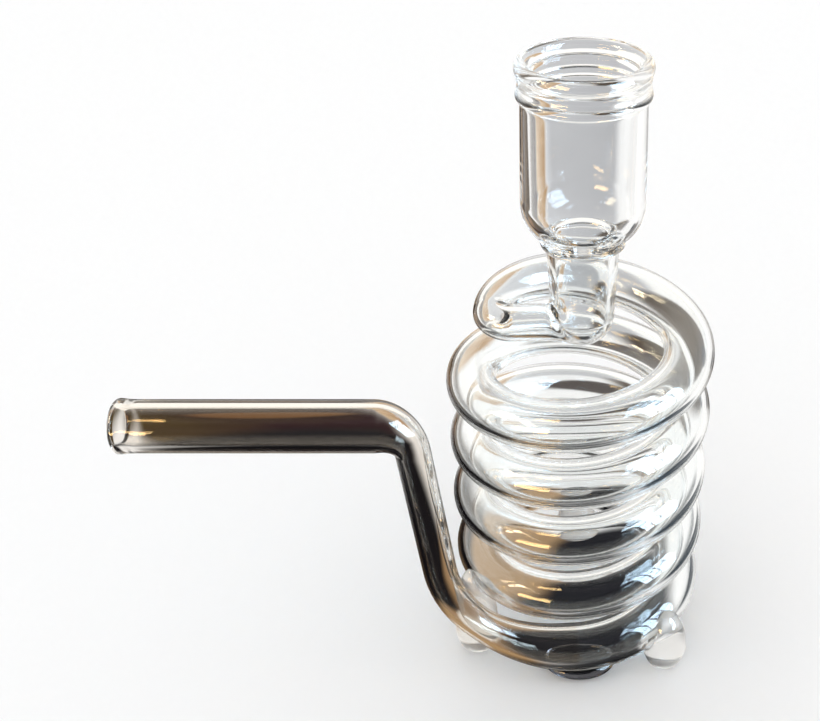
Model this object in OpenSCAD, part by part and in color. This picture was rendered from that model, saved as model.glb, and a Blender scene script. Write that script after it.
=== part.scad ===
// Coiled glass vessel: an open cup on a neck over an upright helix of tube.
// The top turn curls in to the neck; the bottom turn runs out into a riser
// and a level side arm. Four clear feet hold the lowest turn off the table.
// Lengths are in millimetres. The coil's axis is vertical.

/* [Coil] */
// Outside diameter of the coiled tube
tube_od = 10; // [8:0.1:12]
// Wall of the coiled tube
tube_wall = 1.4; // [0.8:0.1:2]
// Radius of the coil, axis to the middle of the tube
coil_r = 21.7; // [19:0.1:30]
// Rise of the top turn
top_pitch = 13.6; // [12.5:0.1:20]
// How much more each lower turn rises than the one above it
pitch_growth = 0.45; // [0:0.05:1.5]
// Space between the lowest turn and the table
floor_gap = 2.6; // [2:0.1:8]

/* [Inlet] */
// Radius of the first, wide quarter of the inlet curl
curl_wide_r = 17.4; // [13:0.1:17.4]
// Outside diameter of the tube where the curl meets the neck
curl_end_od = 7.4; // [6.4:0.1:8]
// Wall of the tube where the curl meets the neck
curl_end_wall = 1.2; // [0.8:0.1:1.4]
// Distance from the coil's axis to the end of the elbow's side stub
stub_reach = 8; // [7.2:0.1:9]

/* [Neck] */
// Outside diameter of the neck at its rounded foot
neck_foot_od = 12.4; // [11:0.1:13.4]
// Outside diameter of the neck under the cup
neck_top_od = 13.8; // [12:0.1:15]
// Wall of the neck
neck_wall = 1.5; // [1:0.1:2]
// Height of the neck tube
neck_len = 12.6; // [8:0.1:25]
// Height of the straight part of the elbow above the side stub
elbow_margin = 0.8; // [0.5:0.1:3]
// Height of the weld bead under the cup
neck_bead_h = 1.8; // [1:0.1:3]
// How far the weld bead stands out from the neck
neck_bead_out = 1.1; // [0.5:0.1:1.5]
// How far the neck and cup stand off the coil's axis, away from the side arm
neck_offset = 0.5; // [0:0.1:1.5]

/* [Cup] */
// Outside diameter of the cup at the top of its barrel
cup_od = 22.5; // [20:0.1:30]
// How much wider each side of the barrel is at the shoulder
barrel_spread = 0.35; // [0:0.05:0.8]
// Bore of the cup
cup_bore = 19.2; // [16:0.1:19.4]
// Height of the barrel above its rounded shoulder
barrel_len = 19.8; // [12:0.1:40]
// Outer radius of the shoulder
shoulder_r = 8; // [7:0.1:8.8]
// Wall of the shoulder
shoulder_wall = 1.8; // [1:0.1:2.4]
// Height of the bead ring round the barrel's mouth
bead_h = 1.9; // [1:0.1:3]
// How far the bead ring stands out from the barrel
bead_out = 0.8; // [0.3:0.05:1.2]
// Height of the collar between the bead ring and the rim
collar_h = 2.2; // [1.5:0.1:8]
// How far the collar stands out from the barrel
collar_out = 0.65; // [0.1:0.05:1]
// Height of the rolled rim
rim_h = 3; // [1.5:0.1:4]
// How far the rolled rim stands out from the barrel
rim_out = 0.95; // [0.3:0.05:1.2]

/* [Outlet] */
// Outside diameter of the riser
riser_od = 6.8; // [6:0.1:8]
// Wall of the riser
riser_wall = 1.1; // [0.8:0.1:1.3]
// Bend radius of the sweep from the coil up into the riser
sweep_r = 25.4; // [22:0.1:32]
// Steepness of the riser, from level
riser_angle = 84; // [70:1:88]
// Length of the riser
riser_len = 30.2; // [24:0.1:48]
// Bend radius of the elbow under the side arm
elbow_r = 6.9; // [5.5:0.1:10]
// Outside diameter of the side arm
arm_od = 10; // [8:0.1:10.4]
// Wall of the side arm
arm_wall = 1.4; // [0.8:0.1:2]
// Length of the side arm's straight tube
arm_len = 45.4; // [30:0.1:80]
// Length of the arm's fire-polished end
lip_len = 1.8; // [1.4:0.1:3]

/* [Feet] */
// Diameter of the flat under each foot
foot_flat = 6; // [4:0.1:8]
// Largest diameter of a foot
foot_od = 9.4; // [8:0.1:10]
// Space between a foot and the tube that it carries
foot_seat = 0.15; // [0.1:0.05:0.3]
// Direction of the right foot from the coil's axis
right_foot_dir = -44; // [-70:1:-30]
// How far outside the tube's middle the right foot stands
right_foot_out = 4.2; // [0:0.1:4.4]
// Direction of the left foot from the coil's axis
left_foot_dir = 211; // [205:1:218]
// How far outside the tube's middle the left foot stands
left_foot_out = 4.2; // [1:0.1:4.4]
// Length of the front foot against its width
front_foot_stretch = 1.6; // [1:0.1:2]
// How far inside the tube's middle the front foot stands
front_foot_in = 1; // [0:0.1:2]

/* [Smoothness] */
// Sides of a bent tube's section
tube_sides = 16; // [12:2:20]
// Rings in one turn of the coil
turn_rings = 32; // [24:4:36]
// Fragments of round surfaces
round_fn = 64; // [48:8:96]

/* [Hidden] */

glass = [0.82, 0.88, 0.88, 0.35];
warm_glass = [0.80, 0.74, 0.62, 0.35];
eps = 0.01;
through = 1;

// Coil: turns are counted down from its top end, which is at the back
tube_r = tube_od / 2;
all_turns = 4.5;
back_dir = 90;
base_z = floor_gap + tube_r;
function drop(u) = top_pitch * u + pitch_growth * u * u / 2;
function coil_dir(u) = back_dir - 360 * u;
function coil_z(u) = base_z + drop(all_turns) - drop(u);
function coil_slope(u) = (top_pitch + pitch_growth * u) / (2 * PI * coil_r);
function coil_point(u) = [coil_r * cos(coil_dir(u)), coil_r * sin(coil_dir(u)), coil_z(u)];
function coil_tangent(u) = [sin(coil_dir(u)), -cos(coil_dir(u)), -coil_slope(u)];

// Curl: a wide quarter, a tight quarter and a short straight run to the stub
curl_tight_r = coil_r - curl_wide_r;
curl_straight = curl_wide_r - curl_tight_r - stub_reach;
quarter = PI / 2;
curl_length = (curl_wide_r + curl_tight_r) * quarter + curl_straight;
curl_rise = coil_slope(0) * curl_length / 2;
curl_end_z = coil_z(0) + curl_rise;
curl_end_r = curl_end_od / 2;
function curl_run(h) = curl_wide_r * min(h, 90) * PI / 180 + curl_tight_r * max(h - 90, 0) * PI / 180;
function curl_height(f) = coil_z(0) + curl_rise * (2 * f - f * f);
function curl_xy(h) = h <= 90
    ? [0, coil_r - curl_wide_r] + curl_wide_r * [-sin(h), cos(h)]
    : [curl_tight_r - curl_wide_r, coil_r - curl_wide_r] + curl_tight_r * [-sin(h), cos(h)];
function curl_point(h) = [curl_xy(h)[0], curl_xy(h)[1], curl_height(curl_run(h) / curl_length)];
function curl_tangent(h) = [-cos(h), -sin(h), coil_slope(0) * (1 - curl_run(h) / curl_length)];

// Neck and cup, stacked on the elbow
stub_z = curl_end_z;
neck_foot_r = neck_foot_od / 2;
neck_top_r = neck_top_od / 2;
neck_bore_r = neck_top_r - neck_wall;
elbow_sag = 0.3;
elbow_foot_z = stub_z - curl_end_r - elbow_sag;
elbow_ball_z = elbow_foot_z + neck_foot_r;
neck_z = stub_z + curl_end_r + elbow_margin;
neck_bead_z = neck_z + neck_len;
cup_z = neck_bead_z + neck_bead_h;
cup_r = cup_od / 2;
bore_r = cup_bore / 2;
barrel_foot_r = cup_r + barrel_spread;
shoulder_x = barrel_foot_r - shoulder_r;
shoulder_z = cup_z + sqrt(pow(shoulder_r, 2) - pow(neck_top_r - shoulder_x, 2));
bead_z = shoulder_z + barrel_len;
collar_z = bead_z + bead_h;
rim_z = collar_z + collar_h;

// Outlet: it lies in the upright plane that touches the coil's front
riser_r = riser_od / 2;
arm_r = arm_od / 2;
outlet_dip = atan(coil_slope(all_turns));
function sweep_x(a) = -sweep_r * (sin(a) + sin(outlet_dip));
function sweep_z(a) = base_z + sweep_r * (cos(outlet_dip) - cos(a));
riser_x = sweep_x(riser_angle);
riser_z = sweep_z(riser_angle);
bend_x = riser_x - riser_len * cos(riser_angle);
bend_z = riser_z + riser_len * sin(riser_angle);
function bend_at_x(a) = bend_x - elbow_r * (sin(riser_angle) - sin(a));
function bend_at_z(a) = bend_z + elbow_r * (cos(a) - cos(riser_angle));
arm_x = bend_at_x(0);
arm_z = bend_at_z(0);
lip_x = arm_x - arm_len;
arm_end_x = lip_x - lip_len;
function outlet_tangent(a) = [-cos(a), 0, sin(a)];
sweep_taper = 1.65;
function sweep_part(a) = ease(min(1, sweep_taper * (a + outlet_dip) / (riser_angle + outlet_dip)));
function sweep_outer(a) = mix(tube_r, riser_r, sweep_part(a));
function sweep_inner(a) = sweep_outer(a) - mix(tube_wall, riser_wall, sweep_part(a));

// The origin is under the middle of the whole object, on the table
right_end = coil_r + tube_r;
origin_x = (arm_end_x + right_end) / 2;

function unit(v) = v / norm(v);
function ease(t) = t * t * (3 - 2 * t);
function mix(a, b, t) = a + (b - a) * t;
function lift(points, dx, dz) = [for (p = points) [p[0] + dx, p[1] + dz]];
function arc(r, from, to, steps) = [for (i = [0:steps])
    r * [cos(mix(from, to, i / steps)), sin(mix(from, to, i / steps))]];

// One ring of a tube: the circle of radius r round point p, square to tangent t
function ring(p, t, r) =
    let (side = unit(cross(t, [0, 0, 1])), up = cross(side, unit(t)))
    [for (j = [0:tube_sides - 1])
        p + r * (cos(360 * j / tube_sides) * side + sin(360 * j / tube_sides) * up)];

// A hollow tube through points, with its own outer and inner radius at each
module bent_tube(points, tangents, outer, inner) {
    rings = len(points);
    shells = [for (i = [0:rings - 1]) concat(ring(points[i], tangents[i], outer[i]),
        ring(points[i], tangents[i], inner[i]))];
    row = 2 * tube_sides;
    corners = [for (s = shells) each s];
    walls = [for (i = [0:rings - 2], j = [0:tube_sides - 1])
        let (a = i * row + j, b = i * row + (j + 1) % tube_sides, c = a + row, d = b + row)
        each [[a, c, b], [b, c, d],
            [a + tube_sides, b + tube_sides, c + tube_sides],
            [b + tube_sides, d + tube_sides, c + tube_sides]]];
    last = (rings - 1) * row;
    ends = [for (j = [0:tube_sides - 1])
        let (k = (j + 1) % tube_sides)
        each [[j, k, k + tube_sides, j + tube_sides],
            [last + j, last + j + tube_sides, last + k + tube_sides, last + k]]];
    polyhedron(corners, concat(walls, ends));
}

// A glass piece in its place over the origin
module placed(tint) {
    color(tint) translate([-origin_x, 0, 0]) children();
}

// A piece of the neck or cup, turned about its own upright axis
module on_neck() {
    placed(glass) translate([neck_offset, 0, 0]) children();
}

// A ring of the cup's mouth: a wall from the bore out to a rounded outside
module mouth_ring(z, height, out) {
    half = height / 2;
    on_neck()
        translate([0, 0, z])
            rotate_extrude($fn = round_fn)
                polygon(concat([[bore_r, 0]],
                    lift([for (p = arc(1, -90, 90, 12)) [p[0] * (out + eps), p[1] * half]],
                        cup_r, half),
                    [[bore_r, height]]));
}

module cup_rim() {
    lip = rim_h / 2;
    wall = cup_r + rim_out - bore_r;
    on_neck()
        translate([0, 0, rim_z])
            rotate_extrude($fn = round_fn)
                polygon(concat([[bore_r, 0], [cup_r, 0]],
                    lift(arc(1, -90, 0, 6) * [[rim_out, 0], [0, lip]], cup_r, lip),
                    lift(arc(1, 0, 180, 14) * [[wall / 2, 0], [0, lip]], bore_r + wall / 2, lip)));
}

module cup_collar() {
    waist = collar_out / 2;
    on_neck()
        translate([0, 0, collar_z])
            rotate_extrude($fn = round_fn)
                polygon([[bore_r, 0], [cup_r + collar_out, 0],
                    [cup_r + collar_out - waist / 2, collar_h * 0.25],
                    [cup_r + collar_out - waist, collar_h * 0.5],
                    [cup_r + collar_out - waist / 2, collar_h * 0.75],
                    [cup_r + collar_out, collar_h], [bore_r, collar_h]]);
}

module cup_bead() {
    mouth_ring(bead_z, bead_h, bead_out);
}

module cup_body() {
    start = asin((shoulder_z - cup_z) / shoulder_r);
    inner_r = shoulder_r - shoulder_wall;
    inner_x = bore_r - inner_r;
    mouth = acos((neck_bore_r - inner_x) / inner_r);
    on_neck()
        rotate_extrude($fn = round_fn)
            polygon(concat(lift(arc(shoulder_r, -start, 0, 16), shoulder_x, shoulder_z),
                [[cup_r, bead_z], [bore_r, bead_z]],
                lift(arc(inner_r, 0, -mouth, 14), inner_x, shoulder_z),
                [[neck_bore_r, cup_z]]));
}

module neck_bead() {
    on_neck()
        translate([0, 0, neck_bead_z])
            rotate_extrude($fn = round_fn)
                polygon(concat([[neck_bore_r, 0]],
                    lift([for (p = arc(1, -90, 90, 12)) [p[0] * neck_bead_out, p[1] * neck_bead_h / 2]],
                        neck_top_r, neck_bead_h / 2),
                    [[neck_bore_r, neck_bead_h]]));
}

module neck_tube() {
    on_neck()
        translate([0, 0, neck_z])
            rotate_extrude($fn = round_fn)
                polygon([[neck_foot_r - neck_wall, 0], [neck_foot_r, 0],
                    [neck_top_r, neck_len], [neck_bore_r, neck_len]]);
}

// The neck's rounded foot, with a stub to the left for the curl
module elbow_solid(shrink, stub_r, reach) {
    r = neck_foot_r - shrink;
    translate([0, 0, elbow_ball_z])
        rotate_extrude($fn = round_fn)
            polygon(concat([[0, -r]], arc(r, -80, 0, 10), [[r, neck_z - elbow_ball_z + reach],
                [0, neck_z - elbow_ball_z + reach]]));
    translate([0, 0, stub_z])
        rotate([0, -90, 0])
            cylinder(r = stub_r, h = stub_reach + neck_offset + reach, $fn = round_fn);
}

module inlet_elbow() {
    on_neck()
        difference() {
            elbow_solid(0, curl_end_r, 0);
            elbow_solid(neck_wall, curl_end_r - curl_end_wall, through);
        }
}

module inlet_curl() {
    arc_rings = 30;
    heads = [for (i = [0:arc_rings]) 180 * i / arc_rings];
    points = concat([for (h = heads) curl_point(h)], [[-stub_reach, 0, curl_end_z]]);
    tangents = concat([for (h = heads) curl_tangent(h)], [[1, 0, 0]]);
    parts = concat([for (h = heads) curl_run(h) / curl_length], [1]);
    outer = [for (f = parts) mix(tube_r, curl_end_r, ease(f))];
    wall = [for (f = parts) mix(tube_wall, curl_end_wall, ease(f))];
    placed(glass) bent_tube(points, tangents, outer, outer - wall);
}

// A stretch of the coil between two counts of turns
module coil_part(from, to) {
    steps = round((to - from) * turn_rings);
    stations = [for (i = [0:steps]) mix(from, to, i / steps)];
    placed(glass)
        bent_tube([for (u = stations) coil_point(u)], [for (u = stations) coil_tangent(u)],
            [for (u = stations) tube_r], [for (u = stations) tube_r - tube_wall]);
}

module coil_turn_1() {
    coil_part(0, 1);
}

module coil_turn_2() {
    coil_part(1, 2);
}

module coil_turn_3() {
    coil_part(2, 3);
}

module coil_turn_4() {
    coil_part(3, 4);
}

module coil_base_turn() {
    coil_part(4, all_turns);
}

module outlet_sweep() {
    steps = 20;
    angles = [for (i = [0:steps]) mix(-outlet_dip, riser_angle, i / steps)];
    placed(warm_glass)
        bent_tube([for (a = angles) [sweep_x(a), -coil_r, sweep_z(a)]],
            [for (a = angles) outlet_tangent(a)],
            [for (a = angles) sweep_outer(a)], [for (a = angles) sweep_inner(a)]);
}

module outlet_riser() {
    placed(warm_glass)
        translate([riser_x, -coil_r, riser_z])
            rotate([0, riser_angle - 90, 0])
                difference() {
                    cylinder(r = riser_r, h = riser_len, $fn = round_fn);
                    translate([0, 0, -through])
                        cylinder(r = riser_r - riser_wall, h = riser_len + 2 * through,
                            $fn = round_fn);
                }
}

module arm_elbow() {
    steps = 12;
    angles = [for (i = [0:steps]) mix(riser_angle, 0, i / steps)];
    parts = [for (i = [0:steps]) ease(i / steps)];
    outer = [for (f = parts) mix(riser_r, arm_r, f)];
    wall = [for (f = parts) mix(riser_wall, arm_wall, f)];
    placed(warm_glass)
        bent_tube([for (a = angles) [bend_at_x(a), -coil_r, bend_at_z(a)]],
            [for (a = angles) outlet_tangent(a)], outer, outer - wall);
}

// Turns an upright piece so that its foot is at x and its top points left
module along_arm(x) {
    translate([x, -coil_r, arm_z]) rotate([0, -90, 0]) children();
}

module side_arm() {
    placed(warm_glass)
        along_arm(arm_x)
            difference() {
                cylinder(r = arm_r, h = arm_len, $fn = round_fn);
                translate([0, 0, -through])
                    cylinder(r = arm_r - arm_wall, h = arm_len + 2 * through, $fn = round_fn);
            }
}

module arm_lip() {
    middle = arm_r - arm_wall / 2;
    crown = lip_len - arm_wall / 2;
    placed(warm_glass)
        along_arm(lip_x)
            rotate_extrude($fn = round_fn)
                polygon(concat([[arm_r - arm_wall, 0], [arm_r, 0]],
                    lift(arc(arm_wall / 2, 0, 180, 12), middle, crown)));
}

// A foot drawn from rod: flat below, round at the side and domed above
module foot_blob(height) {
    flat_r = foot_flat / 2;
    full_r = foot_od / 2;
    belly = min(height / 2, full_r);
    dome = height - belly;
    underside = 55;
    rotate_extrude($fn = round_fn)
        polygon(concat([[0, 0], [flat_r, 0]],
            [for (p = arc(1, -underside, 0, 6))
                [full_r * p[0], belly * (1 + p[1] / sin(underside))]],
            [for (p = arc(1, 0, 90, 14)) if (p[0] > eps) [full_r * p[0], belly + dome * p[1]]],
            [[0, height]]));
}

// The space round the coil's tube near one point, tilted with its slope
module coil_space(u) {
    translate([0, 0, coil_z(u)])
        rotate([0, 0, coil_dir(u)])
            rotate([atan(coil_slope(u)), 0, 0])
                rotate_extrude($fn = round_fn)
                    translate([coil_r, 0]) circle(r = tube_r + foot_seat, $fn = round_fn);
}

// The space round the outlet sweep, which narrows away from the coil
module sweep_space(r) {
    translate([-sweep_r * sin(outlet_dip), -coil_r, base_z + sweep_r * cos(outlet_dip)])
        rotate([90, 0, 0])
            rotate_extrude($fn = round_fn)
                translate([sweep_r, 0]) circle(r = r + foot_seat, $fn = round_fn);
}

// A foot u turns down the coil, its middle out mm outside the tube's middle,
// drawn out along the tube by stretch
module coil_foot(u, out, height, stretch = 1) {
    difference() {
        rotate([0, 0, coil_dir(u)])
            translate([coil_r + out, 0, 0])
                scale([1, stretch, 1]) foot_blob(height);
        coil_space(u);
    }
}

// Turns down from the coil's top end to the point in direction dir
function turns_at(dir, whole) = whole + (back_dir - dir) / 360;

module foot_left() {
    u = turns_at(left_foot_dir, 4);
    placed(glass)
        difference() {
            coil_foot(u, left_foot_out, coil_z(u) + left_foot_out / 2);
            sweep_space(sweep_outer(riser_angle / 2));
        }
}

module foot_right() {
    u = turns_at(right_foot_dir, 4);
    placed(glass) coil_foot(u, right_foot_out, coil_z(u) + right_foot_out);
}

module foot_front() {
    placed(glass)
        difference() {
            coil_foot(all_turns, -front_foot_in, coil_z(all_turns) - tube_r / 2, front_foot_stretch);
            sweep_space(tube_r);
        }
}

module foot_back() {
    u = all_turns - 0.5;
    placed(glass) coil_foot(u, 0, coil_z(u) - tube_r / 2);
}

cup_rim();
cup_collar();
cup_bead();
cup_body();
neck_bead();
neck_tube();
inlet_elbow();
inlet_curl();
coil_turn_1();
coil_turn_2();
coil_turn_3();
coil_turn_4();
coil_base_turn();
outlet_sweep();
outlet_riser();
arm_elbow();
side_arm();
arm_lip();
foot_left();
foot_right();
foot_front();
foot_back();
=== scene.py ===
import math
import bmesh
import bpy
import numpy as np
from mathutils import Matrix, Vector


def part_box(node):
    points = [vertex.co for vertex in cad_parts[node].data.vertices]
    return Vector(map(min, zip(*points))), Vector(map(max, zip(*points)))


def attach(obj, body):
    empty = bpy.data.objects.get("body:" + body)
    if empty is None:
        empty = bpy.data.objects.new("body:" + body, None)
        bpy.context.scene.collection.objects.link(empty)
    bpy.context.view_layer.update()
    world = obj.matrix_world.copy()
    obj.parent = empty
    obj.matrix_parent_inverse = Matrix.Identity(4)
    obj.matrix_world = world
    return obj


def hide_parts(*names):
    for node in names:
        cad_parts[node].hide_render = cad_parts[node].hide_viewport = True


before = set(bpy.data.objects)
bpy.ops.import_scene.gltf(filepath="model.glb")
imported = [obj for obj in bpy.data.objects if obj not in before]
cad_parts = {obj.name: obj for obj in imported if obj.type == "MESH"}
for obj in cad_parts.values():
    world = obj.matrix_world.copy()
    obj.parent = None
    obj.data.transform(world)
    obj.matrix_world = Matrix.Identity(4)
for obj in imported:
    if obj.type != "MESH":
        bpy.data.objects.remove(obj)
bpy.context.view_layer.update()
scene = bpy.context.scene
mm = 0.001
tau = 2 * math.pi
print("frame loaded:", len(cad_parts), "nodes")


# shader helpers

class Wire:
    # one output socket, with the arithmetic that the finishes use
    def __init__(self, finish, socket):
        self.finish = finish
        self.socket = socket

    def math(self, operation, left, right):
        return self.finish.add("ShaderNodeMath", {"operation": operation}, {0: left, 1: right})

    def __add__(self, other):
        return self.math("ADD", self, other)

    def __radd__(self, other):
        return self.math("ADD", other, self)

    def __sub__(self, other):
        return self.math("SUBTRACT", self, other)

    def __rsub__(self, other):
        return self.math("SUBTRACT", other, self)

    def __mul__(self, other):
        return self.math("MULTIPLY", self, other)

    def __rmul__(self, other):
        return self.math("MULTIPLY", other, self)

    def __truediv__(self, other):
        return self.math("DIVIDE", self, other)

    def __rtruediv__(self, other):
        return self.math("DIVIDE", other, self)

    def __pow__(self, other):
        return self.math("POWER", self, other)

    def __rpow__(self, other):
        return self.math("POWER", other, self)

    def __abs__(self):
        return self.math("ABSOLUTE", self, 0)

    def atLeast(self, other):
        return self.math("MAXIMUM", self, other)


class Finish:
    # a material's node tree, built by adding nodes
    def __init__(self, name):
        self.material = bpy.data.materials.new(name)
        self.material.use_nodes = True
        self.tree = self.material.node_tree
        self.tree.nodes.clear()
        self.output = self.tree.nodes.new("ShaderNodeOutputMaterial")

    def add(self, kind, settings=None, sockets=None, out=0):
        node = self.tree.nodes.new(kind)
        for key, value in (settings or {}).items():
            setattr(node, key, value)
        for key, value in (sockets or {}).items():
            if isinstance(value, Wire):
                self.tree.links.new(value.socket, node.inputs[key])
            else:
                node.inputs[key].default_value = value
        return Wire(self, node.outputs[out])

    def blend(self, share, first, second):
        # a Mix node's sockets 6 and 7 and its output 2 are its colours
        return self.add("ShaderNodeMix", {"data_type": "RGBA"}, {0: share, 6: first, 7: second}, out=2)

    def noise(self, place, scale):
        return self.add("ShaderNodeTexNoise", {}, {"Vector": place, "Scale": scale})

    def close(self, shader):
        self.tree.links.new(shader.socket, self.output.inputs["Surface"])
        return self.material


def grey(value):
    return (value, value, value, 1.0)


def opaque(tone):
    return tone + (1,)


# mesh helpers

def ease(t):
    return t * t * (3 - 2 * t)


def mix(a, b, t):
    return a + (b - a) * t


def sharpen(mesh):
    # keeps the shading of a round wall clear of the flat faces at its ends
    number = {tuple(sorted(edge.vertices)): edge.index for edge in mesh.edges}
    for face in mesh.polygons:
        if not face.use_smooth:
            for key in face.edge_keys:
                mesh.edges[number[tuple(sorted(key))]].use_edge_sharp = True


def addMesh(name, corners, faces, materials, slots=None, flat=(), uvs=None):
    # slots pick each face's material, and the faces listed in flat aren't smoothed
    mesh = bpy.data.meshes.new(name)
    mesh.from_pydata([tuple(c) for c in corners], [], faces)
    for material in materials:
        mesh.materials.append(material)
    mesh.polygons.foreach_set("use_smooth", [i not in flat for i in range(len(faces))])
    if slots is not None:
        mesh.polygons.foreach_set("material_index", slots)
    if uvs is not None:
        layer = mesh.uv_layers.new(name="drawn")
        layer.data.foreach_set("uv", np.asarray(uvs, np.float32).ravel())
    mesh.validate()
    sharpen(mesh)
    piece = bpy.data.objects.new(name, mesh)
    scene.collection.objects.link(piece)
    return piece


class Ring:
    # a circle in space: its middle, two unit directions across it, its radius and its place along the tube
    def __init__(self, middle, side, up, radius, along=0.0):
        self.middle, self.side, self.up = np.array(middle), np.array(side), np.array(up)
        self.radius, self.along = radius, along


def ringAt(middle, tangent, radius, along=0.0):
    # a ring square to a tube's direction
    t = np.array(tangent, float)
    t /= np.linalg.norm(t)
    side = np.cross(t, (0.0, 0.0, 1.0))
    side /= np.linalg.norm(side)
    return Ring(middle, side, np.cross(side, t), radius, along)


def skinRings(name, rings, around, materials, fused=()):
    # a closed skin over a loop of rings; the bands named in fused get the second material
    count = len(rings)
    turn = np.arange(around) * tau / around
    corners = np.concatenate([r.middle + r.radius * (np.cos(turn)[:, None] * r.side
                              + np.sin(turn)[:, None] * r.up) for r in rings])
    faces, slots, flat, uvs = [], [], set(), []
    for i in range(count):
        n = (i + 1) % count
        for j in range(around):
            k = (j + 1) % around
            if i in fused:
                flat.add(len(faces))
            faces.append((i * around + j, n * around + j, n * around + k, i * around + k))
            slots.append(1 if i in fused else 0)
            a, b = rings[i].along, rings[n].along
            below, above = j / around, (j + 1) / around
            uvs += [(a, below), (b, below), (b, above), (a, above)]
    return addMesh(name, corners, faces, materials, slots, flat, uvs)


# how a net's corners are drawn on to its surface; the probe is a share of a cell
netting = {"rounds": 4, "probe": 0.05, "leastSlope": 0.2}


def neighbours(axis):
    # two views of a grid, one step apart along an axis
    first, second = [slice(None)] * 3, [slice(None)] * 3
    first[axis], second[axis] = slice(0, -1), slice(1, None)
    return tuple(first), tuple(second)


def skinField(field, low, high, cell):
    # surface nets over a signed distance field: corners and quads, drawn on to the surface
    low, high = np.array(low), np.array(high)
    count = np.ceil((high - low) / cell).astype(int) + 1
    axes = [low[a] + cell * np.arange(count[a]) for a in range(3)]
    grid = np.stack(np.meshgrid(*axes, indexing="ij"), -1)
    value = field(grid)
    inside = value < 0
    total = np.zeros(tuple(count - 1) + (3,))
    hits = np.zeros(tuple(count - 1))
    # each grid edge that the surface crosses adds its crossing to the four cells round it
    for axis in range(3):
        first, second = neighbours(axis)
        a, b = value[first], value[second]
        cross = inside[first] != inside[second]
        share = np.where(cross, a / np.where(cross, a - b, 1), 0)
        place = grid[first].copy()
        place[..., axis] += share * cell
        others = [o for o in range(3) if o != axis]
        for di in (0, 1):
            for dj in (0, 1):
                take = [slice(None)] * 3
                take[others[0]] = slice(di, di + count[others[0]] - 1)
                take[others[1]] = slice(dj, dj + count[others[1]] - 1)
                found = cross[tuple(take)]
                total += place[tuple(take)] * found[..., None]
                hits += found
    used = hits > 0
    number = -np.ones(hits.shape, int)
    number[used] = np.arange(used.sum())
    corners = total[used] / hits[used][:, None]
    faces = []
    # a quad joins the four cells round each crossed edge, and faces outwards
    for axis in range(3):
        first, second = neighbours(axis)
        o1, o2 = (axis + 1) % 3, (axis + 2) % 3
        for cellAt in np.argwhere(inside[first] != inside[second]):
            at1, at2 = cellAt[o1], cellAt[o2]
            if min(at1, at2) == 0 or at1 >= count[o1] - 1 or at2 >= count[o2] - 1:
                continue
            loop = []
            for s1, s2 in ((-1, -1), (0, -1), (0, 0), (-1, 0)):
                at = cellAt.copy()
                at[o1] += s1
                at[o2] += s2
                loop.append(int(number[tuple(at)]))
            faces.append(tuple(loop if inside[tuple(cellAt)] else loop[::-1]))
    step = cell * netting["probe"]
    for _ in range(netting["rounds"]):
        here = field(corners)
        slope = np.stack([(field(corners + step * e) - field(corners - step * e)) / (2 * step)
                          for e in np.eye(3)], -1)
        size = np.maximum((slope ** 2).sum(-1), netting["leastSlope"])
        corners = corners - np.clip(here / size, -cell, cell)[:, None] * slope
    return corners, faces


def smoothMin(a, b, soft):
    # the lesser of two fields, melted together where they meet
    h = np.clip(0.5 + 0.5 * (b - a) / soft, 0, 1)
    return b + (a - b) * h - soft * h * (1 - h)


def smoothMax(a, b, soft):
    return -smoothMin(-a, -b, soft)


# finishes

# borosilicate glass: faint clouds in tint and gloss, and fine ripples drawn along the tube
glassLook = {"ior": 1.474, "cloudScale": 40.0, "hazeStart": 0.5, "hazeEnd": 0.75, "hazeHigh": 0.006,
             "rippleDeep": 0.3 * mm, "rippleScale": (25.0, 5.0, 1.0), "rippleDetail": 1.0,
             "cloudRipple": 0.4}


def makeGlass(name, tint, deepTint, ripple, clear=1.0):
    finish = Finish(name)
    place = finish.add("ShaderNodeTexCoord", out="Object")
    cloud = finish.noise(place, glassLook["cloudScale"])
    colour = finish.blend(cloud, opaque(tint), opaque(deepTint))
    haze = finish.add("ShaderNodeMapRange", {}, {
        "Value": cloud, "From Min": glassLook["hazeStart"], "From Max": glassLook["hazeEnd"],
        "To Min": 0.0, "To Max": glassLook["hazeHigh"]})
    drawn = finish.add("ShaderNodeUVMap", {"uv_map": "drawn"})
    stretched = finish.add("ShaderNodeVectorMath", {"operation": "MULTIPLY"},
                           {0: drawn, 1: glassLook["rippleScale"]})
    lines = finish.add("ShaderNodeTexNoise", {},
                       {"Vector": stretched, "Scale": 1.0, "Detail": glassLook["rippleDetail"]})
    bump = finish.add("ShaderNodeBump", {}, {"Strength": ripple, "Distance": glassLook["rippleDeep"],
                                             "Height": lines + cloud * glassLook["cloudRipple"]})
    shader = finish.add("ShaderNodeBsdfPrincipled", {}, {
        "Base Color": colour, "Roughness": haze, "Normal": bump, "IOR": glassLook["ior"],
        "Transmission Weight": clear})
    return finish.close(shader)


fusedLook = {"cloudScale": 80.0, "dim": 0.96, "bright": 0.99}


def makeFused():
    # the meeting faces inside one melted wall, which light passes as if they weren't there
    finish = Finish("fusedJoint")
    place = finish.add("ShaderNodeTexCoord", out="Object")
    cloud = finish.noise(place, fusedLook["cloudScale"])
    colour = finish.blend(cloud, grey(fusedLook["dim"]), grey(fusedLook["bright"]))
    shader = finish.add("ShaderNodeBsdfPrincipled", {},
                        {"Base Color": colour, "Roughness": 0.0, "Alpha": 0.0})
    return finish.close(shader)


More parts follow.
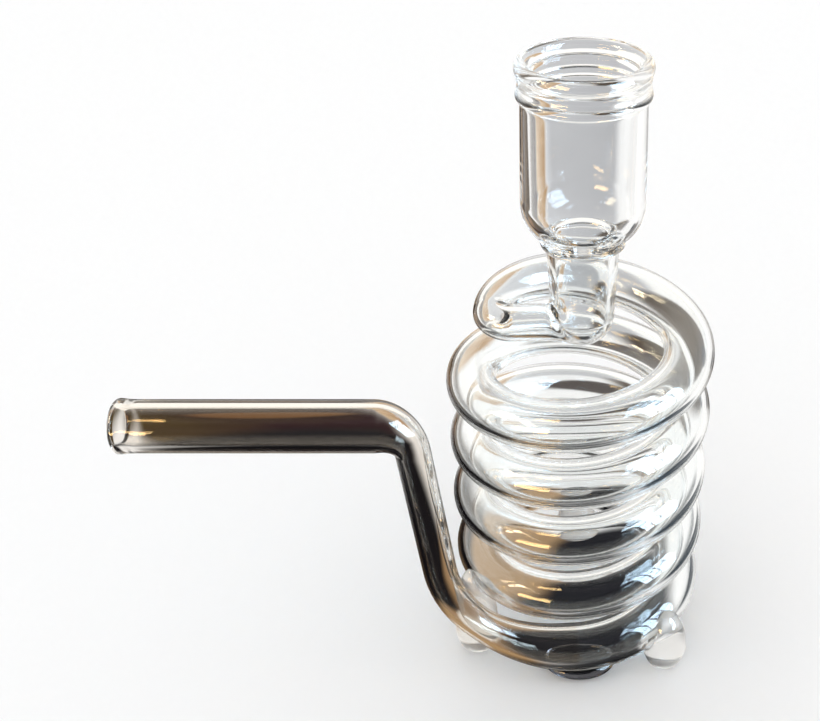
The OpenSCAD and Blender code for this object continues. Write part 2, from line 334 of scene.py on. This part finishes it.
fusedJoint = makeFused()
coilGlass = makeGlass("coilGlass", tint=(0.985, 0.993, 0.995), deepTint=(0.965, 0.975, 0.975), ripple=0.10)
cupGlass = makeGlass("cupGlass", tint=(0.990, 0.995, 1.0), deepTint=(0.975, 0.985, 0.99), ripple=0.05)
neckGlass = makeGlass("neckGlass", tint=(0.985, 0.995, 1.0), deepTint=(0.97, 0.985, 0.99), ripple=0.05)
armGlass = makeGlass("armGlass", tint=(0.95, 0.93, 0.90), deepTint=(0.90, 0.86, 0.81), ripple=0.06)
footGlass = makeGlass("footGlass", tint=(0.998, 0.99, 0.975), deepTint=(0.98, 0.975, 0.96), ripple=0.10,
                      clear=0.8)
# painted shade: the front foot's glass is tinted near black
paintedShadeGlass = makeGlass("paintedShadeGlass", tint=(0.10, 0.10, 0.11), deepTint=(0.06, 0.06, 0.07), ripple=0.10)
print("finishes made")


# the coil's sizes, read back from the frame

# outer and end sizes are radii, here and in the pieces that follow
tube = {"outer": 5.0 * mm, "wall": 1.4 * mm, "turns": 4.5, "ringsPerTurn": 96, "around": 56,
        "swell": 0.05 * mm, "swellPace": 2.3, "swellStart": 0.7, "wander": 0.10 * mm, "wanderPace": 5.1}


def coilSizes():
    tops = [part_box(f"coil_turn_{n}")[1].z for n in (1, 2, 3)]
    low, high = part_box("coil_turn_3")
    growth = (tops[1] - tops[2]) - (tops[0] - tops[1])
    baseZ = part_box("coil_base_turn")[0].z + tube["outer"]
    return {"x": (low.x + high.x) / 2, "y": (low.y + high.y) / 2, "turns": tube["turns"],
            "radius": (high.y - low.y) / 2 - tube["outer"],
            "growth": growth, "pitch": tops[0] - tops[1] - growth / 2, "baseZ": baseZ}


coil = coilSizes()
coilAxis = np.array((coil["x"], coil["y"], 0.0))
cupLow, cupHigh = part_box("cup_rim")
neckAxis = np.array(((cupLow.x + cupHigh.x) / 2, (cupLow.y + cupHigh.y) / 2, 0.0))


def coilDrop(u):
    # u counts turns, from the end of the curl down to the outlet
    return coil["pitch"] * u + coil["growth"] * u * u / 2


def coilZ(u):
    return coil["baseZ"] + coilDrop(coil["turns"]) - coilDrop(u)


def coilSlope(u):
    return (coil["pitch"] + coil["growth"] * u) / (tau * coil["radius"])


def coilHeading(u):
    return math.pi / 2 - tau * u


def coilPoint(u):
    # the hand of the maker: the turns wander a little, and not at all at the ends
    a = coilHeading(u)
    held = math.sin(math.pi * u / coil["turns"])
    r = coil["radius"] + tube["swell"] * held * math.sin(tube["swellPace"] * u + tube["swellStart"])
    z = coilZ(u) + tube["wander"] * held * math.sin(tube["wanderPace"] * u)
    return coilAxis + np.array((r * math.cos(a), r * math.sin(a), z))


def coilTangent(u):
    a = coilHeading(u)
    return np.array((math.sin(a), -math.cos(a), -coilSlope(u)))


# inlet curl and coil: one drawn tube

# a wide quarter bend, a tight one and a straight stub that reaches for the neck
curl = {"wideRadius": 17.4 * mm, "endOuter": 3.7 * mm, "endWall": 1.2 * mm, "reach": 8.0 * mm, "rings": 64,
        "taper": 1.25}


def curlStations():
    # points, directions, shares and lengths from the coil's top inwards; the slope fades out on the way
    tight = coil["radius"] - curl["wideRadius"]
    straight = curl["wideRadius"] - tight - curl["reach"]
    length = (curl["wideRadius"] + tight) * math.pi / 2 + straight
    slope = coilSlope(0)
    middle = np.array((0.0, coil["radius"] - curl["wideRadius"]))
    stations = []
    for i in range(curl["rings"] + 1):
        h = math.pi * i / curl["rings"]
        wide = h <= math.pi / 2
        r = curl["wideRadius"] if wide else tight
        centre = middle if wide else middle + (tight - curl["wideRadius"], 0)
        flat = centre + r * np.array((-math.sin(h), math.cos(h)))
        run = curl["wideRadius"] * min(h, math.pi / 2) + tight * max(h - math.pi / 2, 0)
        f = run / length
        z = coilZ(0) + slope * length / 2 * (2 * f - f * f)
        stations.append((coilAxis + (flat[0], flat[1], z), (-math.cos(h), -math.sin(h), slope * (1 - f)),
                         f, run))
    endZ = coilZ(0) + slope * length / 2
    stations.append((coilAxis + (-curl["reach"], 0, endZ), (1, 0, 0), 1.0, length))
    return stations, endZ


curlPath, stubZ = curlStations()


def makeCoilTube():
    stations = []
    for point, tangent, f, run in reversed(curlPath):
        part = ease(min(1, curl["taper"] * f))
        outer = mix(tube["outer"], curl["endOuter"], part)
        wall = mix(tube["wall"], curl["endWall"], part)
        stations.append((point, [-c for c in tangent], outer, outer - wall, -run))
    count = int(coil["turns"] * tube["ringsPerTurn"])
    turnLength = tau * coil["radius"]
    for i in range(1, count + 1):
        u = coil["turns"] * i / count
        stations.append((coilPoint(u), coilTangent(u), tube["outer"],
                         tube["outer"] - tube["wall"], turnLength * u))
    outer = [ringAt(p, t, ro, along) for p, t, ro, ri, along in stations]
    inner = [ringAt(p, t, ri, along) for p, t, ro, ri, along in reversed(stations)]
    ends = (len(outer) - 1, len(outer) + len(inner) - 1)
    return skinRings("coilTube", outer + inner, tube["around"], [coilGlass, fusedJoint], ends)


coilTube = makeCoilTube()
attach(coilTube, "root")
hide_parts("inlet_curl", "coil_turn_1", "coil_turn_2", "coil_turn_3", "coil_turn_4",
            "coil_base_turn")
print("coil tube made")


# outlet sweep, riser, elbow and side arm: one drawn tube

arm = {"sweepRadius": 25.4 * mm, "riserOuter": 3.4 * mm, "riserWall": 1.1 * mm, "steep": math.radians(84),
       "riserLength": 30.2 * mm, "elbowRadius": 6.9 * mm, "outer": 5.0 * mm, "wall": 1.4 * mm,
       "taper": 1.65, "lipSwell": 0.22 * mm, "lipReach": 1.2 * mm, "around": 56,
       "sweepRings": 48, "riserRings": 24, "elbowRings": 24, "armRings": 30, "lipRings": 12}


def sweepOffset(a, dip):
    # how far the sweep has gone sideways and up when it heads at an angle
    return (-arm["sweepRadius"] * (math.sin(a) + math.sin(dip)),
            arm["sweepRadius"] * (math.cos(dip) - math.cos(a)))


def makeOutletTube():
    dip = math.atan(coilSlope(coil["turns"]))
    frontY = coil["y"] - coil["radius"]
    path = []

    def station(x, z, angle, outer, wall):
        point = np.array((coil["x"] + x, frontY, z))
        along = tau * coil["radius"] * coil["turns"]
        if path:
            along = path[-1][4] + np.linalg.norm(point - path[-1][0])
        path.append((point, (-math.cos(angle), 0, math.sin(angle)), outer, outer - wall, along))

    for i in range(arm["sweepRings"] + 1):
        a = mix(-dip, arm["steep"], i / arm["sweepRings"])
        part = ease(min(1, arm["taper"] * (a + dip) / (arm["steep"] + dip)))
        x, z = sweepOffset(a, dip)
        station(x, coil["baseZ"] + z, a,
                mix(tube["outer"], arm["riserOuter"], part), mix(tube["wall"], arm["riserWall"], part))
    x0, z0 = path[-1][0][0] - coil["x"], path[-1][0][2]
    for i in range(1, arm["riserRings"] + 1):
        s = arm["riserLength"] * i / arm["riserRings"]
        station(x0 - s * math.cos(arm["steep"]), z0 + s * math.sin(arm["steep"]), arm["steep"],
                arm["riserOuter"], arm["riserWall"])
    x1, z1 = path[-1][0][0] - coil["x"], path[-1][0][2]
    for i in range(1, arm["elbowRings"] + 1):
        a = mix(arm["steep"], 0, i / arm["elbowRings"])
        part = ease(i / arm["elbowRings"])
        station(x1 - arm["elbowRadius"] * (math.sin(arm["steep"]) - math.sin(a)),
                z1 + arm["elbowRadius"] * (math.cos(a) - math.cos(arm["steep"])), a,
                mix(arm["riserOuter"], arm["outer"], part), mix(arm["riserWall"], arm["wall"], part))
    x2, z2 = path[-1][0][0] - coil["x"], path[-1][0][2]
    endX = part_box("arm_lip")[0].x - coil["x"] + arm["wall"] / 2
    for i in range(1, arm["armRings"] + 1):
        x = mix(x2, endX, i / arm["armRings"])
        swell = arm["lipSwell"] * math.exp(-((x - endX) / arm["lipReach"]) ** 2)
        station(x, z2, 0, arm["outer"] + swell, arm["wall"] + 2 * swell)
    outer = [ringAt(p, t, ro, along) for p, t, ro, ri, along in path]
    point, tangent, ro, ri, along = path[-1]
    lip = []
    for i in range(1, arm["lipRings"]):
        a = math.pi * i / arm["lipRings"]
        r = (ro - ri) / 2
        lip.append(ringAt(point + np.array((-r * math.sin(a), 0, 0)), tangent,
                          (ro + ri) / 2 + r * math.cos(a), along + r * a))
    inner = [ringAt(p, t, ri, along) for p, t, ro, ri, along in reversed(path)]
    rings = outer + lip + inner
    return skinRings("outletTube", rings, arm["around"], [armGlass, fusedJoint], (len(rings) - 1,))


outletTube = makeOutletTube()
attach(outletTube, "root")
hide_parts("outlet_sweep", "outlet_riser", "arm_elbow", "side_arm", "arm_lip")
print("outlet tube made")


# neck: a rounded foot with the curl's stub melted in

neck = {"footRadius": 6.2 * mm, "topRadius": 6.9 * mm, "wall": 1.5 * mm, "cell": 0.3 * mm,
        "fillet": 1.6 * mm, "innerFillet": 0.9 * mm, "marginCells": 3, "cutSnap": 0.08, "rimSnap": 0.1}


def makeNeck():
    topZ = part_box("neck_tube")[1].z
    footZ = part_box("inlet_elbow")[0].z
    ballZ = footZ + neck["footRadius"]

    def shell(p, shrink, stubRadius, fillet):
        x, y, z = p[..., 0] - neckAxis[0], p[..., 1] - neckAxis[1], p[..., 2]
        share = np.clip((z - ballZ) / (topZ - ballZ), 0, 2)
        r = mix(neck["footRadius"], neck["topRadius"], share) - shrink
        upright = np.where(z > ballZ, np.hypot(x, y) - r,
                           np.sqrt(x * x + y * y + (z - ballZ) ** 2) - (neck["footRadius"] - shrink))
        stub = np.hypot(np.hypot(y, z - stubZ), np.maximum(x, 0)) - stubRadius
        return smoothMin(upright, stub, fillet)

    def field(p):
        outside = shell(p, 0, curl["endOuter"], neck["fillet"])
        inside = shell(p, neck["wall"], curl["endOuter"] - curl["endWall"], neck["innerFillet"])
        return np.maximum(outside, -inside)

    extra = neck["marginCells"] * neck["cell"]
    low = (coilAxis[0] - curl["reach"] - extra, coilAxis[1] - neck["topRadius"] - extra, footZ - extra)
    high = (neckAxis[0] + neck["topRadius"] + extra, coilAxis[1] + neck["topRadius"] + extra, topZ + extra)
    corners, faces = skinField(field, low, high, neck["cell"])
    piece = addMesh("neck", corners, faces, [neckGlass, fusedJoint])
    work = bmesh.new()
    work.from_mesh(piece.data)
    # the net is cut off flat at the top and at the stub's end, and both rims are capped
    cuts = ((Vector((0, 0, topZ)), Vector((0, 0, 1))),
            (Vector((coilAxis[0] - curl["reach"], 0, 0)), Vector((-1, 0, 0))))
    for place, away in cuts:
        bmesh.ops.bisect_plane(work, geom=work.verts[:] + work.edges[:] + work.faces[:],
                               dist=neck["cell"] * neck["cutSnap"], plane_co=place, plane_no=away,
                               clear_outer=True)
        rim = [e for e in work.edges if e.is_boundary
               and abs((e.verts[0].co - place).dot(away)) < neck["cell"] * neck["rimSnap"]]
        caps = bmesh.ops.bridge_loops(work, edges=rim)["faces"]
        for face in caps:
            face.material_index = 1
            face.smooth = False
    for face in work.faces:
        if face.material_index == 0:
            face.smooth = True
    bmesh.ops.recalc_face_normals(work, faces=work.faces[:])
    work.to_mesh(piece.data)
    work.free()
    sharpen(piece.data)
    return piece


neckPiece = makeNeck()
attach(neckPiece, "root")
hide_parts("inlet_elbow", "neck_tube")
print("neck made:", len(neckPiece.data.vertices), "corners")


# cup: weld bead, shoulder, barrel, bead ring, collar and rolled rim, turned as one wall

# heights along a stretch are shares of it; the collar's pairs are a height and a share of its swell
cup = {"outer": 11.25 * mm, "spread": 0.35 * mm, "bore": 9.6 * mm,
       "shoulder": 8.0 * mm, "shoulderWall": 1.8 * mm, "shoulderSteps": 22, "innerSteps": 18,
       "weldOut": 1.1 * mm, "weldStep": 0.1 * mm, "weldTuck": 0.15 * mm,
       "barrelHeights": (0.15, 0.4, 0.7, 0.93), "boreHeights": (0.1, 0.4, 0.7, 0.95),
       "throatHeights": (0.3, 0.7, 0.98, 1), "beadOut": 0.8 * mm, "beadSteps": 12,
       "collarOut": 0.65 * mm,
       "collarShape": ((0.06, 0.9), (0.3, 0.7), (0.5, 0.55), (0.7, 0.7), (0.92, 0.95)),
       "rimOut": 0.95 * mm, "rimRoll": 0.8, "rimSteps": 22, "around": 128}


def arcPoints(middle, across, tall, start, end, count):
    return [(middle[0] + across * math.cos(mix(start, end, i / count)),
             middle[1] + tall * math.sin(mix(start, end, i / count))) for i in range(count + 1)]


def relax(points, rounds=2, cut=0.25):
    # rounds the corners of an open outline, ends kept
    for _ in range(rounds):
        cutPoints = [points[0]]
        for (ax, az), (bx, bz) in zip(points[:-1], points[1:]):
            cutPoints += [(mix(ax, bx, share), mix(az, bz, share)) for share in (cut, 1 - cut)]
        points = cutPoints + [points[-1]]
    return points


def makeCup():
    weldLow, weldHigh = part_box("neck_bead")[0].z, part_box("neck_bead")[1].z
    beadLow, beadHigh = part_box("cup_bead")[0].z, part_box("cup_bead")[1].z
    rimLow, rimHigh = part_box("cup_rim")[0].z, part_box("cup_rim")[1].z
    neckR = neck["topRadius"]
    neckBore = neckR - neck["wall"]
    footR = cup["outer"] + cup["spread"]
    shoulderX = footR - cup["shoulder"]
    shoulderZ = weldHigh + math.sqrt(cup["shoulder"] ** 2 - (neckR - shoulderX) ** 2)
    start = math.asin((shoulderZ - weldHigh) / cup["shoulder"])
    innerR = cup["shoulder"] - cup["shoulderWall"]
    innerX = cup["bore"] - innerR
    mouth = math.acos((neckBore - innerX) / innerR)
    weldMid = (weldLow + weldHigh) / 2
    half = math.pi / 2
    # outside: weld bead, shoulder, barrel, bead ring and collar
    outline = [(neckR, weldLow), (neckR, weldLow + cup["weldStep"])]
    outline += arcPoints((neckR, weldMid), cup["weldOut"], (weldHigh - weldLow) / 2 - cup["weldTuck"],
                         -half, half, cup["beadSteps"])
    outline += arcPoints((shoulderX, shoulderZ), cup["shoulder"], cup["shoulder"],
                         -start, 0, cup["shoulderSteps"])[1:]
    outline += [(mix(footR, cup["outer"], f), mix(shoulderZ, beadLow, f)) for f in cup["barrelHeights"]]
    beadMid = (beadLow + beadHigh) / 2
    outline += arcPoints((cup["outer"], beadMid), cup["beadOut"], (beadHigh - beadLow) / 2,
                         -half, half, cup["beadSteps"])
    outline += [(cup["outer"] + cup["collarOut"] * k, mix(beadHigh, rimLow, f))
                for f, k in cup["collarShape"]]
    # over the rolled rim, and down the bore to the throat
    rimMid = (rimLow + rimHigh) / 2
    rimX = (cup["bore"] + cup["outer"] + cup["rimOut"]) / 2
    outline += arcPoints((rimX, rimMid), cup["outer"] + cup["rimOut"] - rimX, (rimHigh - rimLow) / 2,
                         -half * cup["rimRoll"], math.pi, cup["rimSteps"])
    outline += [(cup["bore"], mix(rimMid, shoulderZ, f)) for f in cup["boreHeights"]]
    outline += arcPoints((innerX, shoulderZ), innerR, innerR, 0, -mouth, cup["innerSteps"])
    outline += [(neckBore, mix(weldHigh, weldLow, f)) for f in cup["throatHeights"]]
    outline = relax(outline)
    rings = [Ring((neckAxis[0], neckAxis[1], z), (1, 0, 0), (0, 1, 0), x, z) for x, z in outline]
    return skinRings("cup", rings[::-1], cup["around"], [cupGlass, fusedJoint], (len(rings) - 1,))


cupPiece = makeCup()
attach(cupPiece, "root")
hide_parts("neck_bead", "cup_body", "cup_bead", "cup_collar", "cup_rim")
print("cup made")


# feet: blobs gathered on to the lowest turns

# each foot: its node, the sides it shows on across and in depth, its stretch across and its glass
feet = {"radius": 4.7 * mm, "melt": 0.5 * mm, "seat": 0.04 * mm, "narrowing": 0.28,
        "cell": 0.29 * mm, "marginCells": 2, "fieldSlope": 0.8,
        "coilFrom": 2.9, "coilPoints": 110, "sweepTo": 0.6, "sweepPoints": 14,
        "pieces": {"footLeft": ("foot_left", -1, -1, 1.0, footGlass),
                   "footRight": ("foot_right", 1, -1, 1.0, footGlass),
                   # the front foot's near-black glass is painted shade
                   "footFront": ("foot_front", 0, -1, 1.6, paintedShadeGlass),
                   "footBack": ("foot_back", 0, 1, 1.0, footGlass)}}


def tubeDistance(p, points):
    # how far each place is from a tube's middle line
    flat = p.reshape(-1, 3)
    best = np.full(len(flat), 1.0)
    for a, b in zip(points[:-1], points[1:]):
        d = b - a
        t = np.clip(((flat - a) @ d) / (d @ d), 0, 1)
        best = np.minimum(best, np.linalg.norm(flat - a - t[:, None] * d, axis=1))
    return best.reshape(p.shape[:-1])


def footMiddle(low, high, side, radius):
    # a foot is cut away by the tube on its inner side, so its middle is counted from its outer side
    if side == 0:
        return (low + high) / 2
    return low + radius if side < 0 else high - radius


def makeFoot(name, node, sideX, sideY, stretch, material):
    low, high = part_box(node)
    wide, deep = feet["radius"] * stretch, feet["radius"]
    middle = (footMiddle(low.x, high.x, sideX, wide), footMiddle(low.y, high.y, sideY, deep))
    tall = high.z
    near = [coilPoint(u) for u in np.linspace(feet["coilFrom"], coil["turns"], feet["coilPoints"])]
    dip = math.atan(coilSlope(coil["turns"]))
    outlet = []
    for a in np.linspace(-dip, feet["sweepTo"], feet["sweepPoints"]):
        x, z = sweepOffset(a, dip)
        outlet.append(np.array((coil["x"] + x, coil["y"] - coil["radius"], coil["baseZ"] + z)))

    def field(p):
        # a round blob, cut flat on the table and kept clear of the tube by the seat
        x, y, z = (p[..., 0] - middle[0]) / stretch, p[..., 1] - middle[1], p[..., 2]
        belly = min(tall / 2, deep)
        upper = np.clip((z - belly) / (tall - belly), 0, 1)
        lower = np.clip((belly - z) / belly, 0, 1)
        r = deep * np.sqrt(1 - upper ** 2) * (1 - feet["narrowing"] * lower ** 2)
        blob = (np.hypot(x, y) - r) * feet["fieldSlope"]
        blob = np.maximum(blob, z - tall)
        blob = smoothMax(blob, -z, feet["melt"])
        blob = smoothMax(blob, tube["outer"] + feet["seat"] - tubeDistance(p, near), feet["melt"])
        return smoothMax(blob, tube["outer"] + feet["seat"] - tubeDistance(p, outlet), feet["melt"])

    extra = feet["marginCells"] * feet["cell"]
    corners, faces = skinField(field, np.array(low) - extra, np.array(high) + extra, feet["cell"])
    piece = addMesh(name, corners, faces, [material])
    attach(piece, "root")
    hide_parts(node)


for name, values in feet["pieces"].items():
    makeFoot(name, *values)
print("feet made")


def hideFrom(piece, *rays):
    for ray in rays:
        setattr(piece, "visible_" + ray, False)


# light reaches the floor round the thin tubes, so only the feet leave a shadow
for piece in (coilTube, outletTube, neckPiece, cupPiece):
    hideFrom(piece, "shadow")


# stage: floor, table top, room, panels and camera

stage = {"floorSize": 6.0, "floorSteps": 24, "floorTone": 0.93, "grainTone": 0.004, "grainScale": 300.0,
         "roughness": 0.9, "sheen": 0.1, "world": 1.07}


def flatSheet(name, half, z, steps, material):
    row = steps + 1
    corners = [(half * (2 * i / steps - 1), half * (2 * j / steps - 1), z)
               for j in range(row) for i in range(row)]
    faces = [(j * row + i, j * row + i + 1, (j + 1) * row + i + 1, (j + 1) * row + i)
             for j in range(steps) for i in range(steps)]
    sheet = addMesh(name, corners, faces, [material])
    return sheet


def makeFloor():
    finish = Finish("floorPaper")
    place = finish.add("ShaderNodeTexCoord", out="Object")
    grain = finish.noise(place, stage["grainScale"])
    colour = finish.blend(grain, grey(stage["floorTone"] - stage["grainTone"]),
                          grey(stage["floorTone"] + stage["grainTone"]))
    shader = finish.add("ShaderNodeBsdfPrincipled", {}, {
        "Base Color": colour, "Roughness": stage["roughness"], "Specular IOR Level": stage["sheen"]})
    floor = flatSheet("floor", stage["floorSize"] / 2, 0, stage["floorSteps"], finish.close(shader))
    hideFrom(floor, "transmission", "glossy")


makeFloor()

# what the glass sees in place of the floor: a glowing table top with painted light and shade, bright with
# darker and warmer places on it, in metres from the coil's axis; a painted shadow is a wedge that opens
# away from a point viewFrom in front of the axis, with its slant, half width, start, softness there, stop
# and two clouded tones; the front is a band of painted shade towards the viewer; a spot of painted shade
# or painted light has its middle, its half sizes, its turn in degrees and its tone
tableCard = {"size": 3.0, "steps": 40, "drop": 0.0005, "core": 0.75, "edge": 1.15, "viewFrom": 0.19,
             "near": (1.04, 1.03, 1.01), "nearReach": 0.22, "far": (1.10, 1.09, 1.06), "farReach": 0.50,
             "cloudGain": 1.6, "cloudShift": 0.45, "asideShift": 0.35,
             # painted shadows: three wedges of shade in clouded tones, dark, grey and amber
             "shadows": (
                 {"slant": -0.35, "half": 0.17, "start": 0.050, "rise": 0.050, "stop": 0.42,
                  "grain": 22.0, "tones": ((0.032, 0.010, 0.011), (0.115, 0.080, 0.022))},
                 {"slant": 0.0, "half": 0.11, "start": 0.150, "rise": 0.035, "stop": 1.00,
                  "grain": 9.0, "tones": ((0.56, 0.56, 0.57), (0.70, 0.70, 0.71))},
                 {"slant": -0.150, "half": 0.045, "start": 0.120, "rise": 0.025, "stop": 0.80,
                  "grain": 25.0, "tones": ((0.50, 0.29, 0.12), (0.86, 0.68, 0.46))}),
             # painted shade: a dark band in front of the coil
             "front": {"core": -0.045, "edge": -0.015, "tone": (0.045, 0.044, 0.048)},
             # painted spots: the dark ones are painted shade under and round the coil, the amber and pale
             # ones painted light
             "paintedSpots": (((-0.095, 0.112), (0.026, 0.024), 20, (0.22, 0.115, 0.045)),
                       ((0.050, 0.112), (0.036, 0.044), 0, (0.070, 0.048, 0.030)),
                       ((0.080, 0.100), (0.020, 0.016), 0, (0.010, 0.015, 0.030)),
                       ((0.062, 0.000), (0.028, 0.045), 0, (0.030, 0.045, 0.060)),
                       ((0.012, 0.086), (0.026, 0.013), 0, (0.110, 0.092, 0.082)),
                       ((-0.064, 0.010), (0.046, 0.055), 0, (0.006, 0.005, 0.006)),
                       ((-0.024, -0.020), (0.019, 0.015), 0, (0.44, 0.28, 0.14)),
                       ((-0.014, 0.008), (0.016, 0.028), 0, (0.42, 0.27, 0.14)),
                       ((0.007, 0.000), (0.0155, 0.032), 0, (0.004, 0.004, 0.006)),
                       ((0.004, -0.013), (0.023, 0.017), 0, (0.004, 0.004, 0.006)),
                       ((-0.0245, -0.0110), (0.0065, 0.0085), 0, (0.95, 0.93, 0.89)),
                       ((0.0210, -0.0160), (0.0060, 0.0085), 0, (0.95, 0.94, 0.92)))}


def softMask(finish, reach, inner, outer):
    return finish.add("ShaderNodeMapRange", {"interpolation_type": "SMOOTHSTEP"},
                      {"Value": reach, "From Min": outer, "From Max": inner})


def softSpot(finish, colour, reach, inner, outer, tone):
    return finish.blend(softMask(finish, reach, inner, outer), colour, opaque(tone))


def glow(finish, colour, strength):
    shader = finish.add("ShaderNodeBsdfPrincipled", {}, {
        "Base Color": grey(0.0), "Specular IOR Level": 0.0, "Emission Color": colour,
        "Emission Strength": strength})
    material = finish.close(shader)
    material.cycles.emission_sampling = "NONE"
    return material


def makeTableCard():
    finish = Finish("tableTopPaintedLight")
    place = finish.add("ShaderNodeTexCoord", out="Object")
    x = finish.add("ShaderNodeSeparateXYZ", {}, {0: place}, out="X") - coil["x"]
    y = finish.add("ShaderNodeSeparateXYZ", {}, {0: place}, out="Y") - coil["y"]
    reach = (x * x + y * y) ** 0.5
    core, edge = tableCard["core"], tableCard["edge"]
    colour = softSpot(finish, opaque(tableCard["far"]), reach, tableCard["nearReach"],
                      tableCard["farReach"], tableCard["near"])
    # each painted shadow darkens a wedge of the card
    for shadow in tableCard["shadows"]:
        cloud = finish.noise(place, shadow["grain"])
        aside = (x / (y + tableCard["viewFrom"]) - shadow["slant"]) / shadow["half"]
        reach = abs(aside).atLeast((shadow["start"] - y) / shadow["rise"]).atLeast(y / shadow["stop"])
        mask = softMask(finish, reach, core, edge)
        share = cloud * tableCard["cloudGain"] - tableCard["cloudShift"] - aside * tableCard["asideShift"]
        first, second = shadow["tones"]
        colour = finish.blend(mask, colour, finish.blend(share, opaque(first), opaque(second)))
    # painted shade: the dark band in front of the coil
    front = tableCard["front"]
    colour = softSpot(finish, colour, y, front["core"], front["edge"], front["tone"])
    # spots of painted shade and painted light
    for (cx, cy), (sx, sy), turned, tone in tableCard["paintedSpots"]:
        c, n = math.cos(math.radians(turned)), math.sin(math.radians(turned))
        ex, ey = ((x - cx) * c + (y - cy) * n) / sx, ((y - cy) * c - (x - cx) * n) / sy
        colour = softSpot(finish, colour, (ex * ex + ey * ey) ** 0.5, core, edge, tone)
    # the card glows with this painted light and shade and shows only through the glass
    sheet = flatSheet("tableCard", tableCard["size"] / 2, -tableCard["drop"], tableCard["steps"],
                      glow(finish, colour, 1.0))
    hideFrom(sheet, "camera", "diffuse", "shadow")


makeTableCard()
print("table top made")

# the room, which shows only in the glass; each patch has its direction, the cosines of its core and edge,
# and its tone
room = {"radius": 1.4, "base": (0.10, 0.10, 0.11), "rows": 24, "columns": 64,
        "patches": (((0.0, 0.0, 1.0), 0.90, 0.55, (0.17, 0.17, 0.19)),
                    ((0.0, 1.0, 0.20), 0.60, 0.10, (1.20, 1.17, 1.10)),
                    ((-0.95, 0.25, 0.15), 0.90, 0.60, (1.05, 1.00, 0.92)),
                    ((0.95, 0.20, 0.25), 0.90, 0.60, (0.95, 1.00, 1.04)))}


def makeRoom():
    finish = Finish("roomWall")
    place = finish.add("ShaderNodeTexCoord", out="Object")
    heading = finish.add("ShaderNodeVectorMath", {"operation": "NORMALIZE"}, {0: place})
    colour = opaque(room["base"])
    for direction, core, edge, tone in room["patches"]:
        facing = finish.add("ShaderNodeVectorMath", {"operation": "DOT_PRODUCT"},
                            {0: heading, 1: Vector(direction).normalized()}, out="Value")
        colour = softSpot(finish, colour, facing, core, edge, tone)
    corners, faces = [], []
    for i in range(room["rows"] + 1):
        rise = math.pi / 2 * i / room["rows"]
        wide, tall = room["radius"] * math.cos(rise), room["radius"] * math.sin(rise)
        for j in range(room["columns"]):
            turn = tau * j / room["columns"]
            corners.append((wide * math.cos(turn), wide * math.sin(turn), tall))
    for i in range(room["rows"]):
        for j in range(room["columns"]):
            k = (j + 1) % room["columns"]
            a, b = i * room["columns"], (i + 1) * room["columns"]
            faces.append((a + j, b + j, b + k, a + k))
    dome = addMesh("room", corners, faces, [glow(finish, colour, 1.0)])
    dome.location = (coil["x"], coil["y"], -tableCard["drop"])
    hideFrom(dome, "camera", "diffuse", "shadow")


makeRoom()
print("room made")


def makeWorld():
    world = bpy.data.worlds.new("softRoom")
    world.use_nodes = True
    background = world.node_tree.nodes["Background"]
    background.inputs["Color"].default_value = grey(1.0)
    background.inputs["Strength"].default_value = stage["world"]
    scene.world = world


makeWorld()

# bright panels that show only in the glass: place, width and height, panes across and up, tone, strength
panelLook = {"gap": 0.08, "dimmest": 0.8, "cloudScale": 9.0, "aimZ": 0.05}
panels = {
    "window": ((0.46, -0.20, 0.30), (0.36, 0.50), (4, 3), (0.62, 0.82, 1.0), 26.0),
    "skyLeft": ((-0.45, -0.12, 0.34), (0.15, 0.22), (2, 2), (1.0, 0.84, 0.58), 26.0),
    "lampLeft": ((-0.36, -0.42, 0.10), (0.33, 0.12), (1, 1), (1.0, 0.66, 0.28), 26.0),
}


def makePanel(name, place, size, panes, tone, strength):
    finish = Finish(name + "Light")
    coord = finish.add("ShaderNodeTexCoord", out="Object")
    cloud = finish.noise(coord, panelLook["cloudScale"])
    colour = finish.blend(cloud, opaque(tuple(panelLook["dimmest"] * c for c in tone)), opaque(tone))
    corners, faces = [], []
    gap = panelLook["gap"]
    for i in range(panes[0]):
        for j in range(panes[1]):
            for a, b in ((0, 0), (1, 0), (1, 1), (0, 1)):
                corners.append((size[0] * ((i + mix(gap, 1 - gap, a)) / panes[0] - 0.5),
                                size[1] * ((j + mix(gap, 1 - gap, b)) / panes[1] - 0.5), 0))
            faces.append(tuple(range(len(corners) - 4, len(corners))))
    panel = addMesh(name, corners, faces, [glow(finish, colour, strength)])
    aim = Vector((coil["x"], coil["y"], panelLook["aimZ"]))
    panel.location = Vector(place) + Vector((coil["x"], coil["y"], 0))
    panel.rotation_euler = (aim - panel.location).to_track_quat("Z", "Y").to_euler()
    hideFrom(panel, "camera", "diffuse", "shadow")


for name, values in panels.items():
    makePanel(name, *values)
print("panels made")

view = {"rise": math.radians(34.007), "away": 0.230, "aimZ": 0.0664, "aside": -0.0025,
        "lens": 50.49, "sensor": 36, "shift": -0.19116, "nearClip": 0.01}


def makeCamera():
    data = bpy.data.cameras.new("camera")
    data.lens = view["lens"]
    data.sensor_width = view["sensor"]
    data.shift_x = view["shift"]
    data.clip_start = view["nearClip"]
    camera = bpy.data.objects.new("camera", data)
    scene.collection.objects.link(camera)
    camera.location = (coil["x"] + view["aside"], coil["y"] - view["away"] * math.cos(view["rise"]),
                       view["aimZ"] + view["away"] * math.sin(view["rise"]))
    camera.rotation_euler = (math.pi / 2 - view["rise"], 0, 0)
    scene.camera = camera


makeCamera()
scene.view_settings.view_transform = "Standard"
# light crosses four surfaces in each tube, and many tubes lie one behind another
scene.cycles.max_bounces = 48
scene.cycles.transmission_bounces = 48
scene.cycles.glossy_bounces = 24
scene.cycles.transparent_max_bounces = 32
print("stage set")
